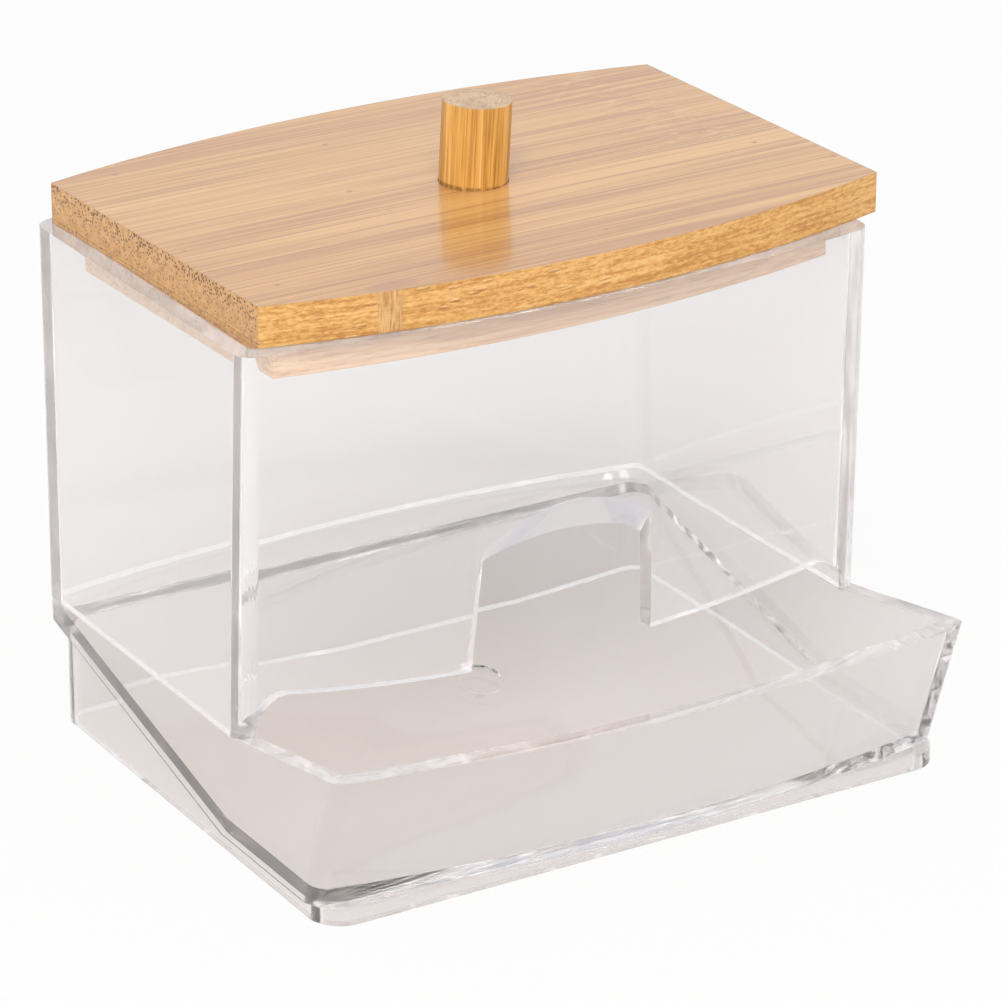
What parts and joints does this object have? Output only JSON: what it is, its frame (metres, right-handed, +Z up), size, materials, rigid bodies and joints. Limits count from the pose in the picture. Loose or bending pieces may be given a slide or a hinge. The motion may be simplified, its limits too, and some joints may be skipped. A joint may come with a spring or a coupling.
{
  "type": "swab dispenser box",
  "caption": "Clear rigid plastic box with a bowed front wall, an arched pick-out window over a ramp and open tray, and a loose bamboo lid with a dowel knob.",
  "frame": {"origin": "centre of the plan box of the whole object, on the face that the skirt rests on", "axes": "+Z up, -Y towards the open tray, +X to the right seen from the tray"},
  "size_m": [0.1044, 0.0976, 0.0918],
  "materials": {
    "clear_plastic": "polished clear",
    "bamboo": "fine sanded, unvarnished"
  },
  "bodies": {
    "box": {"box_sleeve": "clear_plastic", "base_tray": "clear_plastic"},
    "lid": {"lid_board": "bamboo", "lid_lip": "bamboo", "lid_knob": "bamboo"}
  },
  "joints": [
    {"name": "lid_lift", "type": "slide", "parent": "box", "child": "lid", "axis": [0, 0, 1], "range_m": [0, 0.03]}
  ]
}
